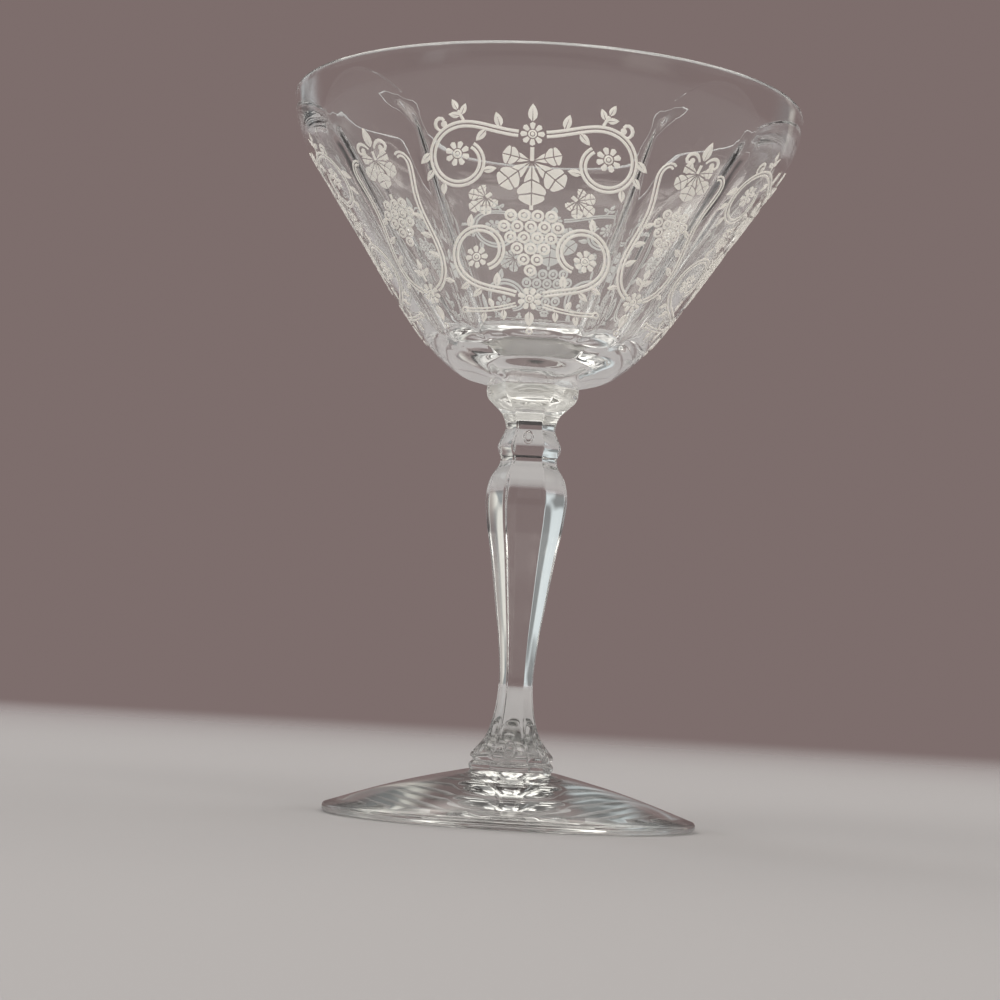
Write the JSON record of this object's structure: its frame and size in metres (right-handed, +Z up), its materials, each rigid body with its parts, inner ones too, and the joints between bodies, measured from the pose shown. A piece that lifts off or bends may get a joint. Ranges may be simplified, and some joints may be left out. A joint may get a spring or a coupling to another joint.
{
  "type": "coupe glass",
  "caption": "Clear stemmed coupe glass: wide cone bowl with scalloped inner panels, six-sided baluster stem with a petal skirt, low round foot, frosted grapevine frieze.",
  "frame": {"origin": "on the table, under the middle of the foot", "axes": "+Z up along the stem's axis; -Y is the front, where a wide panel of the bowl and a flat of the stem face"},
  "size_m": [0.111, 0.111, 0.155],
  "materials": {
    "clear_glass": "clear, polished",
    "etched_frost": "white acid-etched frost, matte"
  },
  "bodies": {
    "root": {"bowl": "clear_glass", "stem": "clear_glass", "foot": "clear_glass"}
  },
  "joints": []
}
